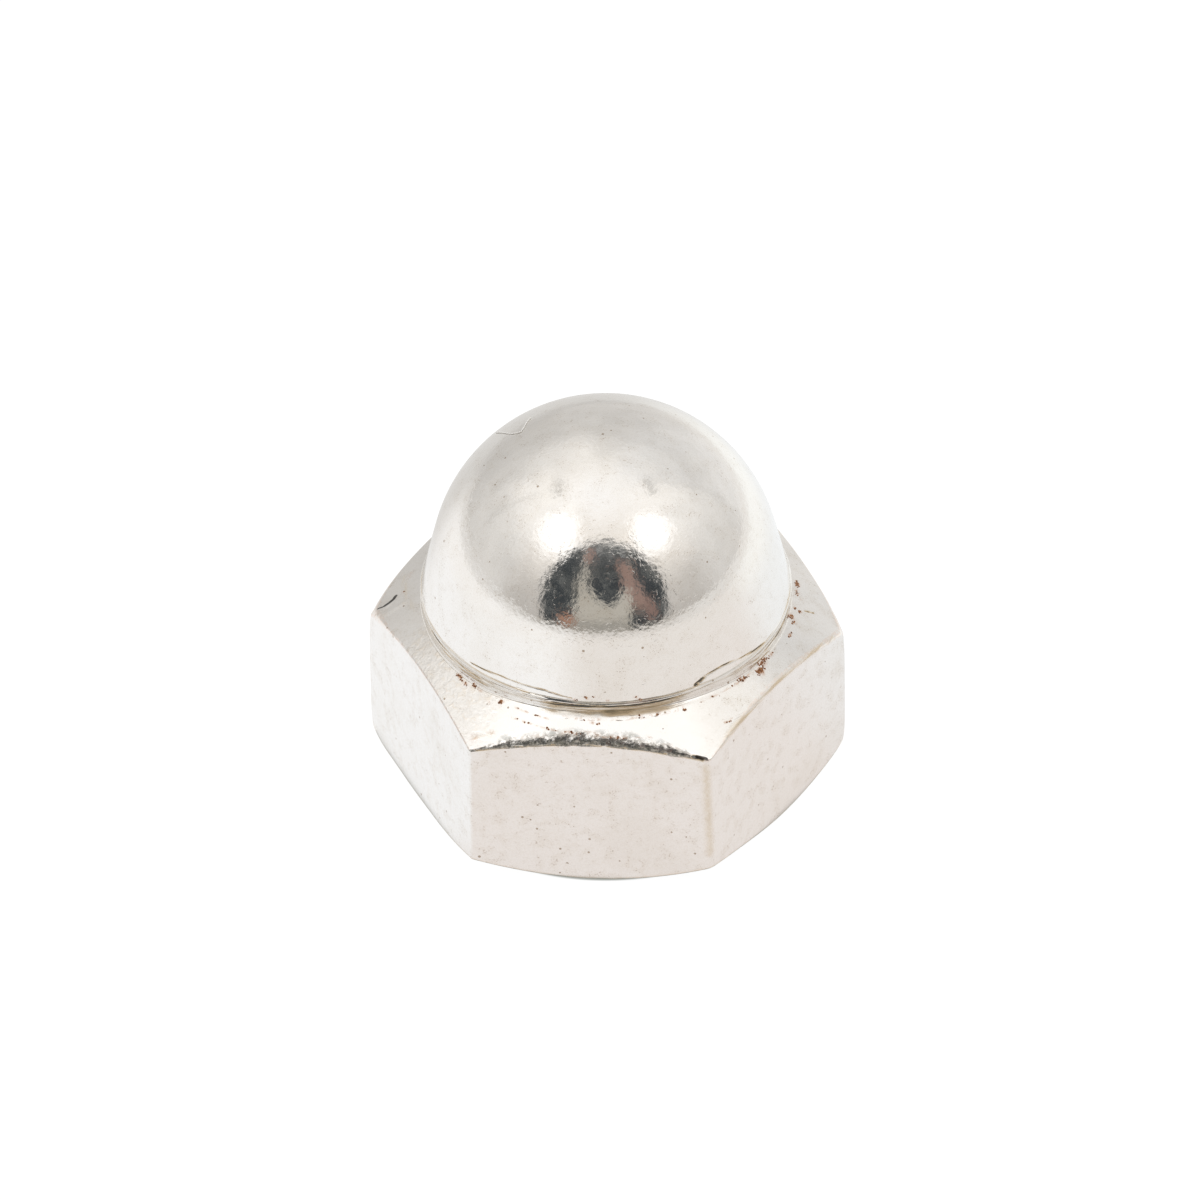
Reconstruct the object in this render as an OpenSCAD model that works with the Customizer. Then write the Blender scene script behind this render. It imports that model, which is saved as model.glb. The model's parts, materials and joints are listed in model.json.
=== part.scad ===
// Domed cap nut, cold formed from one piece of steel, turned, tapped blind and plated.
// The origin is the middle of the bearing face. +Z runs up through the dome.

/* [Thread] */
// Nominal diameter of the metric thread
thread_d = 8; // [6:0.5:9]
// Pitch of the thread
thread_pitch = 1.25; // [0.75:0.25:1.5]
// How much wider than the thread the mouth of the hole is opened
mouth_over = 0.8; // [0.4:0.1:1.2]
// Full angle of the cone that opens the mouth
mouth_angle = 120; // [90:5:130]
// Full angle of the drill point that ends the blind hole
drill_angle = 118; // [90:2:140]
// Wall left between the drill point and the top of the dome
crown_wall = 1.4; // [1:0.1:2]

/* [Hexagon] */
// Width of the hexagon across its flats
across_flats = 13; // [12:0.5:17]
// Height from the bearing face to the top of the shoulder, at the foot of the dome
hex_h = 6.15; // [5:0.05:8]
// Slope of the turned chamfers, measured from the bearing face
chamfer_angle = 30; // [15:1:35]
// How far the rim of the bearing face lies inside the flats
bearing_inset = 0.2; // [0.1:0.05:0.6]
// How far the rolled corners stand back from sharp ones
corner_setback = 0.02; // [0.01:0.01:0.3]

/* [Dome] */
// Height of the whole nut
overall_h = 12.8; // [11:0.1:16]
// Width of the shoulder between the flats and the foot of the dome
shoulder_w = 0.7; // [0.4:0.05:1.2]
// How much smaller in radius the crown is than the foot of the dome
flank_taper = 0.3; // [0.1:0.05:0.8]

/* [Neck] */
// Height of the neck that is turned between the shoulder and the foot of the dome
neck_h = 0.45; // [0.2:0.05:0.8]
// Depth of the crescent that the turning tool bit out of the neck, at its deepest
neck_depth = 0.17; // [0.05:0.01:0.3]
// Angle from the deepest place of that crescent to each of its tips
neck_sweep = 47; // [40:1:80]
// Where the crescent is deepest, as an angle from the front flat towards +X
neck_heading = 12; // [-30:1:30]

/* [Hidden] */
$fn = 96;
lap = 0.5;          // how far the neck runs into the hexagon
bite = 0.01;        // how far the end of the flank lies inside the crown

// hexagon and its chamfers
hex_r = across_flats / sqrt(3);
corner_r = hex_r - corner_setback;
bearing_r = across_flats / 2 - bearing_inset;
foot_r = across_flats / 2 - shoulder_w;
base_chamfer_h = (corner_r - bearing_r) * tan(chamfer_angle);

// neck and dome: the tool's circle runs through both tips and the bottom of the crescent
neck_offset = neck_depth * (2 * foot_r - neck_depth)
    / (2 * (foot_r * (1 - cos(neck_sweep)) - neck_depth));
neck_r = foot_r - neck_depth + neck_offset;
blank_r = foot_r - neck_depth - lap;    // the shoulder runs in under the neck to here
foot_z = hex_h + neck_h;
crown_r = foot_r - flank_taper;
crown_z = overall_h - crown_r;

// blind hole
minor_drop = 1.0825;    // the minor diameter is this many pitches less than the nominal one
bore_r = (thread_d - minor_drop * thread_pitch) / 2;
mouth_r = (thread_d + mouth_over) / 2;
mouth_h = (mouth_r - bore_r) / tan(mouth_angle / 2);
drill_tip = overall_h - crown_wall;
bore_top = drill_tip - bore_r / tan(drill_angle / 2);

// Height of the turned shoulder at a given radius
function shoulder_z(r) = hex_h - (r - foot_r) * tan(chamfer_angle);

// Upper end of the flank, where a line from the foot of the dome just enters the crown
function flank_top() =
    let (
        end_r = crown_r - bite,
        drop = foot_z - crown_z,
        reach = norm([foot_r, drop]),
        angle = atan2(drop, foot_r) + acos(end_r / reach)
    )
    [end_r * cos(angle), crown_z + end_r * sin(angle)];

// Hexagon bar, with the bearing chamfer and the shoulder turned on it
module hexagon() {
    intersection() {
        cylinder(r = hex_r, h = overall_h, $fn = 6);
        rotate_extrude()
            polygon([
                [0, 0],
                [bearing_r, 0],
                [corner_r, base_chamfer_h],
                [corner_r, shoulder_z(corner_r)],
                [blank_r, shoulder_z(blank_r)],
                [0, shoulder_z(blank_r)],
            ]);
    }
}

// Neck under the dome. The tool ran off centre, so it only bit into one side.
module neck() {
    intersection() {
        translate([0, 0, hex_h - lap])
            cylinder(r = foot_r, h = neck_h + lap);
        rotate([0, 0, neck_heading])
            translate([0, neck_offset, 0])
                cylinder(r = neck_r, h = overall_h);
    }
}

// Dome: a drafted flank that runs up into a round crown
module dome() {
    rotate_extrude() {
        polygon([
            [0, foot_z],
            [foot_r, foot_z],
            flank_top(),
            [0, flank_top().y],
        ]);
        intersection() {
            translate([0, crown_z])
                circle(r = crown_r);
            translate([0, foot_z])
                square([across_flats, overall_h]);
        }
    }
}

// Everything that the countersink, the drill and the tap remove
module blind_hole() {
    rotate_extrude()
        polygon([
            [0, -mouth_h],
            [2 * mouth_r - bore_r, -mouth_h],
            [bore_r, mouth_h],
            [bore_r, bore_top],
            [0, drill_tip],
        ]);
}

module cap_nut() {
    color("gainsboro")
        difference() {
            union() {
                hexagon();
                neck();
                dome();
            }
            blind_hole();
        }
}

cap_nut();
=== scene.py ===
import json
import math
import bmesh
import bpy
import numpy as np
from mathutils import Matrix, Vector, noise


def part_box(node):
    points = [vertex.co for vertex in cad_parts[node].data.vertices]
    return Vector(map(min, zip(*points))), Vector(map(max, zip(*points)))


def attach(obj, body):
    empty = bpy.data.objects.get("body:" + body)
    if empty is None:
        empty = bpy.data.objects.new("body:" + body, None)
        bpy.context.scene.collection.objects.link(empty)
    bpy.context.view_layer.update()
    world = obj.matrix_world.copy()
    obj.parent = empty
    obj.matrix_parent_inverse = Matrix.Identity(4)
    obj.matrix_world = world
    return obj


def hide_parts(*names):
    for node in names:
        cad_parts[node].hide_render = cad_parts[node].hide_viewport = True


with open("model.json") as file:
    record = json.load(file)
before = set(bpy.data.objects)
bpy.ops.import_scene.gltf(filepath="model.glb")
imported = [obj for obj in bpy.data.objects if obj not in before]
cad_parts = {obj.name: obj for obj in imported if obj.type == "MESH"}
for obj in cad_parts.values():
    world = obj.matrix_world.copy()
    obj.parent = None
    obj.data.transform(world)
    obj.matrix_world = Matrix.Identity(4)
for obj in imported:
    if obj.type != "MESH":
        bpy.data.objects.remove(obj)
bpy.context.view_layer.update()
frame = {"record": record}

mm = 0.001
cadLow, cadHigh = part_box("cap_nut")
mounts = {m["name"]: m for m in frame["record"]["mounts"]}


# small helpers for objects and node trees

def addObject(name, data):
    holder = bpy.data.objects.new(name, data)
    bpy.context.scene.collection.objects.link(holder)
    return holder


def meshOf(holder):
    graph = bpy.context.evaluated_depsgraph_get()
    return bpy.data.meshes.new_from_object(holder.evaluated_get(graph))


class Wire:
    # an output of a node; it can be written in sums, and plugged into the next node
    def __init__(self, tree, socket):
        self.tree = tree
        self.socket = socket

    def __add__(self, other):
        return calc("ADD", self, other)

    def __radd__(self, other):
        return calc("ADD", other, self)

    def __sub__(self, other):
        return calc("SUBTRACT", self, other)

    def __rsub__(self, other):
        return calc("SUBTRACT", other, self)

    def __mul__(self, other):
        return calc("MULTIPLY", self, other)

    def __rmul__(self, other):
        return calc("MULTIPLY", other, self)

    def __truediv__(self, other):
        return calc("DIVIDE", self, other)

    def __rtruediv__(self, other):
        return calc("DIVIDE", other, self)

    def __pow__(self, other):
        return calc("POWER", self, other)

    def __abs__(self):
        return calc("ABSOLUTE", self)


class Outputs:
    # the outputs of a node as wires, by name or number
    def __init__(self, tree, node):
        self.tree = tree
        self.node = node

    def __getitem__(self, key):
        return Wire(self.tree, self.node.outputs[key])


def makeNode(tree, kind, inputs=None, **settings):
    node = tree.nodes.new(kind)
    for name, value in settings.items():
        setattr(node, name, value)
    for name, value in (inputs or {}).items():
        if isinstance(value, Wire):
            tree.links.new(value.socket, node.inputs[name])
        else:
            node.inputs[name].default_value = value
    return Outputs(tree, node)


def treeOf(*values):
    return next(value.tree for value in values if isinstance(value, Wire))


def calc(operation, *values, clamp=False):
    inputs = dict(enumerate(values))
    return makeNode(treeOf(*values), "ShaderNodeMath", inputs, operation=operation, use_clamp=clamp)[0]


def fade(value, low, high):
    # 0 below low, 1 above high, smooth between
    inputs = {"Value": value, "From Min": low, "From Max": high}
    return makeNode(value.tree, "ShaderNodeMapRange", inputs, interpolation_type="SMOOTHSTEP")["Result"]


def window(value, low, high, soft):
    # 1 between low and high, with soft ends
    rise = fade(value, low - soft, low + soft)
    fall = fade(value, high - soft, high + soft)
    return rise * (1.0 - fall)


def blend(factor, first, second, mode="MIX"):
    colours = [c if isinstance(c, Wire) else (*c, 1) for c in (first, second)]
    inputs = {0: factor, 6: colours[0], 7: colours[1]}
    tree = treeOf(factor, first, second)
    return makeNode(tree, "ShaderNodeMix", inputs, data_type="RGBA", blend_type=mode)[2]


def mixShaders(factor, first, second):
    return makeNode(first.tree, "ShaderNodeMixShader", {0: factor, 1: first, 2: second})[0]


def noiseAt(place, scale, detail, output="Fac", roughness=0.5, distortion=0.0):
    inputs = {"Vector": place, "Scale": scale, "Detail": detail,
              "Roughness": roughness, "Distortion": distortion}
    return makeNode(place.tree, "ShaderNodeTexNoise", inputs)[output]


def ramp(value, stops):
    node = makeNode(value.tree, "ShaderNodeValToRGB", {"Fac": value})
    elements = node.node.color_ramp.elements
    while len(elements) > 1:
        elements.remove(elements[-1])
    elements[0].position = stops[0][0]
    elements[0].color = (*stops[0][1], 1)
    for place, colour in stops[1:]:
        elements.new(place).color = (*colour, 1)
    return node["Color"]


def newMaterial(name):
    material = bpy.data.materials.new(name)
    material.use_nodes = True
    material.node_tree.nodes.clear()
    return material, material.node_tree


def makeGroup(name, inputs):
    # a geometry tree with its inputs (name and kind of each after the geometry)
    tree = bpy.data.node_groups.new(name, "GeometryNodeTree")
    for title, kind in {"Geometry": "Geometry", **inputs}.items():
        tree.interface.new_socket(title, in_out="INPUT", socket_type="NodeSocket" + kind)
    tree.interface.new_socket("Geometry", in_out="OUTPUT", socket_type="NodeSocketGeometry")
    return tree, makeNode(tree, "NodeGroupInput")


def applyTree(holder, tree, values, name):
    # runs a tree on an object and returns the result as a plain mesh object
    modifier = holder.modifiers.new(name, "NODES")
    modifier.node_group = tree
    sockets = {s.name: s.identifier for s in tree.interface.items_tree
               if s.item_type == "SOCKET" and s.in_out == "INPUT"}
    for title, value in values.items():
        modifier[sockets[title]] = value
    bpy.context.view_layer.update()
    mesh = meshOf(holder)
    holder.modifiers.remove(modifier)
    mesh.name = name
    return addObject(name, mesh)


# a long lens, a good half metre away; lengths in millimetres
camera = {
    "heading": 5.29,        # degrees from the front flat towards +X
    "elevation": 40.37,
    "roll": 0.94,           # the nut leans this much to the left
    "aim": (-0.19, -0.02, 6.03),
    "distance": 581,
    "lens": 557,
    "sensor": 36,
    "clip": (0.05, 20),     # metres
}


def makeCamera():
    heading = math.radians(camera["heading"])
    rise = math.radians(camera["elevation"])
    level = math.cos(rise)
    back = Vector((math.sin(heading) * level, -math.cos(heading) * level, math.sin(rise)))
    data = bpy.data.cameras.new("camera")
    data.sensor_width = camera["sensor"]
    data.lens = camera["lens"]
    data.clip_start, data.clip_end = camera["clip"]
    holder = addObject("camera", data)
    roll = Matrix.Rotation(math.radians(-camera["roll"]), 4, "Z").to_quaternion()
    holder.rotation_mode = "QUATERNION"
    holder.rotation_quaternion = (-back).to_track_quat("-Z", "Y") @ roll
    holder.location = (Vector(camera["aim"]) + back * camera["distance"]) * mm
    bpy.context.scene.camera = holder


# a light tent with an arched opening towards the camera, on a white floor; headings are degrees to the
# right of the camera's, heights degrees above the horizon
studio = {
    "sway": 9.0,            # how crooked the cloth hangs, sideways and upwards
    "sag": 6.0,
    # tint of the cloth, then height and brightness
    "cloth": {
        "fore": ((1, 0.955, 0.90), [(0, 0.55), (20, 0.67), (30, 0.86), (42, 1.00), (72, 1.02), (90, 1.12)]),
        "left": ((1, 0.975, 0.94), [(0, 0.78), (20, 0.78), (30, 0.86), (42, 1.02), (54, 1.12), (90, 1.22)]),
        "right": ((1, 0.975, 0.94), [(0, 0.75), (20, 0.81), (35, 0.93), (55, 1.05), (90, 1.22)]),
        "leftBack": ((1, 0.975, 0.94), [(0, 0.62), (30, 0.71), (40, 0.85), (55, 1.00), (75, 1.10),
                                        (90, 1.22)]),
        "rightBack": ((1, 0.985, 0.965), [(0, 0.93), (18, 0.84), (32, 0.77), (45, 0.83), (75, 1.02),
                                          (90, 1.22)]),
        "back": ((1, 0.975, 0.94), [(0, 0.73), (20, 0.68), (40, 0.70), (60, 0.92), (75, 1.08), (90, 1.22)]),
    },
    # headings between which one stretch of cloth turns into the next
    "leftwards": (("left", -58, -80), ("leftBack", -112, -138), ("back", -164, -179)),
    "rightwards": (("right", 58, 86), ("rightBack", 108, 126), ("back", 146, 176)),
    "foldDepth": 0.34,
    "hems": ((-107, 0, 56), (117, 8, 60)),      # heading, lowest and highest place
    "hemTone": (0.60, 0.585, 0.56),
    "topFrom": (60, 84),
    "topTone": (1.115, 1.10, 1.085),
    "lampHeading": 55,
    "lampHeight": 53,
    "lampWidth": 0.6,       # below 1 the lamp is wider than high
    "lampSize": 20.5,
    "lampStrength": 1.55,
    "openingCentre": -1.5,
    "openingWidth": 43.5,   # to each side of its centre
    "openingMiddle": 20,
    "openingTop": 58,
    "openingRound": 2.2,    # 2 would be an ellipse
    "openingEdge": (0.84, 1.14),
    # the unlit room behind the opening: a pale shape with a notch in its top, a brown strip, brown patches
    "roomDark": (0.045, 0.052, 0.058),
    "roomMottle": (0.16, 0.165, 0.16),
    "roomAbove": (0.12, 0.125, 0.125),
    "aboveFrom": (34, 58),
    "roomSpecks": (0.72, 0.72, 0.71),
    "roomPale": (0.53, 0.50, 0.445),
    "paleLeft": (-23, -18.5),
    "paleRight": (12.5, 16.5),
    "paleLean": 0.16,
    "notchHeading": 1.5,
    "notchHeight": 17.0,
    "notchSteep": 0.075,
    "roomBrown": (0.34, 0.235, 0.20),
    "brownStrip": ((19, 29, 4), (10, 44, 5)),   # headings and heights, each with its softness
    "brownLean": 0.33,
    "patches": (        # headings, heights, tone
        (-30, -20, 1, 8, (0.42, 0.24, 0.17)),
        (-19, -11, 43, 52, (0.34, 0.24, 0.21)),
        (26, 32, 3, 17, (0.27, 0.185, 0.16)),
    ),
    # the paper with painted light and shade, as the nut mirrors it: close to the nut, a hand's breadth away,
    # and far off
    "floorFront": ((0.975, 0.92, 0.89), (0.935, 0.895, 0.855), (0.72, 0.69, 0.655)),
    "floorLeft": ((1.10, 1.11, 1.125), (1.12, 1.11, 1.10), (0.86, 0.845, 0.825)),
    "floorRight": ((1.01, 1.035, 1.055), (1.15, 1.16, 1.14), (0.97, 0.95, 0.92)),
    "floorBack": ((0.78, 0.765, 0.745), (0.74, 0.73, 0.71), (0.64, 0.625, 0.605)),
    "floorSides": (0.86, 0.84, 0.81),   # far off to both sides
    "floorUnder": (0.27, 0.28, 0.25),   # where the nut shades it
    # painted shadow in the strip under the front edge, where the camera sees the floor
    "floorContact": (0.36, 0.37, 0.345),
    # painted shade where the table's far edge lies in front
    "tableEdge": (0.36, 0.33, 0.28),
    "handAway": (10, 42),               # millimetres over which close turns into a hand's breadth away
    "farAway": (55, 165),
    "edgeAway": (200, 500),
    "floorSize": 6.0,                   # metres from the middle to each side
    "floorSink": 0.004,                 # millimetres below the nut, so the two faces don't flicker
    "floorMirrored": 0.85,              # share of these tones where the floor is mirrored, and of plain
    "floorSeen": 0.86,                  # white where it is seen directly; the rest is lit paper
    "seenStrength": 1.12,
}


def makeCloth(direction, around, height):
    level = calc("DIVIDE", height, 90.0, clamp=True)
    stretches = {}
    for name, (tint, stops) in studio["cloth"].items():
        stretches[name] = ramp(level, [(up / 90, tuple(bright * t for t in tint)) for up, bright in stops])
    leftwards = rightwards = stretches["fore"]
    for name, low, high in studio["leftwards"]:
        leftwards = blend(fade(around, low, high), leftwards, stretches[name])
    for name, low, high in studio["rightwards"]:
        rightwards = blend(fade(around, low, high), rightwards, stretches[name])
    cloth = blend(calc("GREATER_THAN", around, 0.0), leftwards, rightwards)
    # it hangs in faint folds
    folds = noiseAt(direction, 6, 5, roughness=0.6) * studio["foldDepth"] + (1 - studio["foldDepth"] / 2)
    grey = makeNode(around.tree, "ShaderNodeCombineColor", {0: folds, 1: folds, 2: folds})[0]
    cloth = blend(1.0, cloth, grey, "MULTIPLY")
    # hems where its walls meet, each with a tuck at the top
    for place, low, high in studio["hems"]:
        hem = window(around, place - 1, place + 1, 1.6) * window(height, low, high, 6)
        tuck = window(around, place - 16, place + 6, 6) * window(height, 59, 64, 3)
        cloth = blend(calc("ADD", hem * 0.5, tuck * 0.8, clamp=True), cloth, studio["hemTone"])
    return blend(fade(height, *studio["topFrom"]), cloth, studio["topTone"])


def makeLamps(around, height, cloth):
    # two of them, behind the cloth
    glow = 0.0
    for place in (-studio["lampHeading"], studio["lampHeading"]):
        across = (around - place) * studio["lampWidth"]
        above = height - studio["lampHeight"]
        glow = glow + (1.0 - fade(calc("SQRT", across ** 2 + above ** 2), 2, studio["lampSize"]))
    return blend(calc("MINIMUM", glow, 1.0), cloth, (studio["lampStrength"],) * 3)


def makeRoom(direction, around, height):
    room = blend(fade(noiseAt(direction, 13, 4), 0.46, 0.66), studio["roomDark"], studio["roomMottle"])
    room = blend(fade(height, *studio["aboveFrom"]), room, studio["roomAbove"])
    specks = fade(noiseAt(direction, 22, 5), 0.49, 0.6) * fade(height, 42, 55)
    room = blend(specks * 0.55, room, studio["roomSpecks"])
    notch = (around - studio["notchHeading"]) ** 2 * studio["notchSteep"] + studio["notchHeight"]
    leaned = around - height * studio["paleLean"]
    pale = fade(around, *studio["paleLeft"]) - fade(leaned, *studio["paleRight"])
    pale = pale * fade(notch - height, -2, 3)
    room = blend(pale, room, blend(fade(height, 10, 0) * 0.4, studio["roomPale"], studio["roomDark"]))
    sideways, upwards = studio["brownStrip"]
    slanted = around + studio["brownLean"] * (height - 12.0)
    room = blend(window(slanted, *sideways) * window(height, *upwards), room, studio["roomBrown"])
    for low, high, bottom, top, tone in studio["patches"]:
        room = blend(window(around, low, high, 2) * window(height, bottom, top, 2), room, tone)
    return room


def makeOpening(around, height):
    spread = abs((around - studio["openingCentre"]) / studio["openingWidth"])
    rise = (height - studio["openingMiddle"]) / (studio["openingTop"] - studio["openingMiddle"])
    oval = spread ** studio["openingRound"] + abs(rise) ** studio["openingRound"]
    return (1.0 - fade(oval, *studio["openingEdge"])) * fade(height, -3.0, 0.5)


def makeWorld():
    world = bpy.data.worlds.new("lightTent")
    world.use_nodes = True
    bpy.context.scene.world = world
    tree = world.node_tree
    tree.nodes.clear()
    direction = makeNode(tree, "ShaderNodeTexCoord")["Generated"]
    split = makeNode(tree, "ShaderNodeSeparateXYZ", {0: direction})
    heading = math.radians(camera["heading"])
    towards = split[0] * math.sin(heading) - split[1] * math.cos(heading)
    aside = split[0] * math.cos(heading) + split[1] * math.sin(heading)
    around = calc("ARCTAN2", aside, towards) * math.degrees(1)
    height = calc("ARCSINE", split[2]) * math.degrees(1)
    # nothing in the tent hangs quite straight
    waver = makeNode(tree, "ShaderNodeSeparateColor", {0: noiseAt(direction, 7, 3, "Color")})
    around = around + (waver[0] - 0.5) * studio["sway"]
    height = height + (waver[1] - 0.5) * studio["sag"]
    lit = makeLamps(around, height, makeCloth(direction, around, height))
    room = makeRoom(direction, around, height)
    seen = blend(makeOpening(around, height), lit, room)
    rays = makeNode(tree, "ShaderNodeLightPath")
    tent = makeNode(tree, "ShaderNodeBackground", {"Color": seen, "Strength": 1.0})
    white = makeNode(tree, "ShaderNodeBackground", {"Color": (1, 1, 1, 1), "Strength": 1.0})
    final = mixShaders(rays["Is Camera Ray"], tent[0], white[0])
    makeNode(tree, "ShaderNodeOutputWorld", {"Surface": final})


def floorTone(split, away, sideways, forwards):
    # painted light on the paper: warm in front, whiter to both sides, and dimmer the further it lies
    toRight = sideways * 0.72 - forwards * 0.69
    toLeft = forwards * (fade(away, 9 * mm, 17 * mm) * 0.36) - sideways
    handAway, farAway, edgeAway = (fade(away, studio[name][0] * mm, studio[name][1] * mm)
                                   for name in ("handAway", "farAway", "edgeAway"))

    def tones(title):
        near, middle, far = studio[title]
        return blend(farAway, blend(handAway, near, middle), far)

    tone = blend(fade(forwards, -0.2, -0.8), tones("floorFront"), tones("floorBack"))
    tone = blend(fade(abs(sideways), 0.6, 0.92) * farAway, tone, studio["floorSides"])
    tone = blend(fade(toLeft, 0.38, 0.84), tone, tones("floorLeft"))
    tone = blend(fade(toRight, 0.58, 0.98), tone, tones("floorRight"))
    # painted shade along the table's far edge, in front
    tone = blend(edgeAway * fade(forwards, 0.55, 0.85), tone, studio["tableEdge"])
    # dark close round the foot of the hexagon
    fromHexagon = abs(split[1])
    for side in (1, -1):
        slant = split[0] * (side * math.cos(math.radians(30))) + split[1] * 0.5
        fromHexagon = calc("MAXIMUM", fromHexagon, abs(slant))
    return blend(fade(fromHexagon, cadHigh.y + 0.30 * mm, cadHigh.y - 0.05 * mm), tone, studio["floorUnder"])


def makeFloor():
    reach, level = studio["floorSize"], -studio["floorSink"] * mm
    mesh = bpy.data.meshes.new("floor")
    corners = [(x * reach, y * reach, level) for x, y in ((-1, -1), (1, -1), (1, 1), (-1, 1))]
    mesh.from_pydata(corners, [], [(0, 1, 2, 3)])
    floor = addObject("floor", mesh)
    material, tree = newMaterial("floorWhite")
    place = makeNode(tree, "ShaderNodeTexCoord")["Object"]
    split = makeNode(tree, "ShaderNodeSeparateXYZ", {0: place})
    away = makeNode(tree, "ShaderNodeVectorMath", {0: place}, operation="LENGTH")["Value"]
    sideways = split[0] / away
    forwards = split[1] * -1.0 / away
    tone = floorTone(split, away, sideways, forwards)
    # painted contact shadow on the white the camera sees, in the strip under the front edge
    gapShadow = fade(away, cadHigh.y - 0.01 * mm, cadHigh.y - 0.12 * mm) * fade(forwards, 0.78, 0.91)
    looked = blend(gapShadow, (1, 1, 1), studio["floorContact"])
    rays = makeNode(tree, "ShaderNodeLightPath")
    paper = makeNode(tree, "ShaderNodeBsdfDiffuse", {"Color": (0.9, 0.9, 0.9, 1)})[0]
    glossy = makeNode(tree, "ShaderNodeEmission", {"Color": tone, "Strength": 1.0})[0]
    seen = makeNode(tree, "ShaderNodeEmission", {"Color": looked, "Strength": studio["seenStrength"]})[0]
    reflected = mixShaders(studio["floorMirrored"], paper, glossy)
    final = mixShaders(rays["Is Glossy Ray"], paper, reflected)
    final = mixShaders(rays["Is Camera Ray"], final, mixShaders(studio["floorSeen"], paper, seen))
    # from below the floor is clear, so the underside of the nut can be looked at
    below = makeNode(tree, "ShaderNodeNewGeometry")["Backfacing"]
    final = mixShaders(below, final, makeNode(tree, "ShaderNodeBsdfTransparent")[0])
    makeNode(tree, "ShaderNodeOutputMaterial", {"Surface": final})
    mesh.materials.append(material)


# the nut, in millimetres
nut = {
    "hexHeight": 6.15,
    "chamferAngle": 30,
    "bearingInset": 0.2,
    "mouthRadius": 4.4,
    "shoulderWidth": 0.7,
    "flankTaper": 0.3,
    "neckHeight": 0.45,
    "neckDepth": 0.17,
    "neckSweep": 47,
    "neckHeading": 12,
    "crownWall": 1.4,
    "drillAngle": 118,
    "threadDiameter": 8,
    "threadPitch": 1.25,
    "footRound": 0.045,     # lower edge of the dome
    "footBead": 0.015,      # how far that edge stands proud
    "baseRound": 0.09,      # lower edge of the flats
    "cornerRounds": (0.16, 0.2, 0.18, 0.15, 0.13, 0.36),    # upright edges, from +X round to the front right
    "topRound": 0.10,
    "topRoundFront": 0.44,  # how much rounder the battered front edge is
    "topRoundRight": 0.20,
    "lip": 22,              # degrees left between the rounded edge and the flat below it
    "flatSteps": (44, 40, 44, 56, 150, 60),
    "cornerSteps": 8,
    "boreSteps": 96,
    "turnSteps": 16,        # rows in one turn of the thread
}
nut["halfFlats"] = cadHigh.y / mm
nut["overall"] = cadHigh.z / mm
nut["footRadius"] = nut["halfFlats"] - nut["shoulderWidth"]
nut["crownRadius"] = nut["footRadius"] - nut["flankTaper"]
nut["footHeight"] = nut["hexHeight"] + nut["neckHeight"]
nut["boreRadius"] = mounts["thread"]["dims"]["r_mm"]
slope = math.tan(math.radians(nut["chamferAngle"]))


def edgeRoundAt(angle):
    # the top edge is hammered round along the front flat, worn on the right, and crisp elsewhere
    heading = (math.degrees(angle) + 270) % 360 - 180
    uneven = noise.noise(Vector((angle * 11, 0.3, 0))) + 0.4 * noise.noise(Vector((angle * 27, 4.1, 0)))
    front = max(0.0, 1 - abs(heading / 29) ** 4) * nut["topRoundFront"] * (1 + 0.7 * uneven)
    for place, spread, extra in marks["battered"]:
        front += extra * math.exp(-((heading - place) / spread) ** 2)
    right = max(0.0, 1 - abs((heading - 60) / 26) ** 4) * nut["topRoundRight"]
    return nut["topRound"] + front + right


def railPoints():
    # plan of the hexagon with its upright edges rounded, corner by corner
    points = []
    rounds = nut["cornerRounds"]
    tangent = math.tan(math.radians(30))
    for side in range(6):
        radius, following = rounds[side], rounds[(side + 1) % 6]
        corner = math.radians(60 * side)
        middle = (nut["halfFlats"] - radius) / math.cos(math.radians(30))
        centre = Vector((math.cos(corner), math.sin(corner))) * middle
        for i in range(nut["cornerSteps"]):
            swing = corner + math.radians(-30 + 60 * i / nut["cornerSteps"])
            points.append(centre + Vector((math.cos(swing), math.sin(swing))) * radius)
        face = corner + math.radians(30)
        outward = Vector((math.cos(face), math.sin(face)))
        along = Vector((-math.sin(face), math.cos(face)))
        half = nut["halfFlats"] * tangent
        start, end = -half + radius * tangent, half - following * tangent
        steps = nut["flatSteps"][side]
        # columns draw together towards the corners, less so where there are many
        pull = 0.13 if steps < 100 else 0.07
        for i in range(steps):
            eased = i / steps - pull * math.sin(2 * math.pi * i / steps)
            points.append(outward * nut["halfFlats"] + along * (start + (end - start) * eased))
    return points


def arc(centre, radius, first, last, steps):
    turns = [math.radians(first + (last - first) * i / steps) for i in range(steps + 1)]
    return [(centre[0] + radius * math.cos(t), centre[1] + radius * math.sin(t)) for t in turns]


def straight(first, last, steps, pull=0.12):
    # from first up to but not including last; the rows draw together towards the ends
    eased = [i / steps - pull * math.sin(2 * math.pi * i / steps) for i in range(steps)]
    return [(first[0] + (last[0] - first[0]) * s, first[1] + (last[1] - first[1]) * s) for s in eased]


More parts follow.
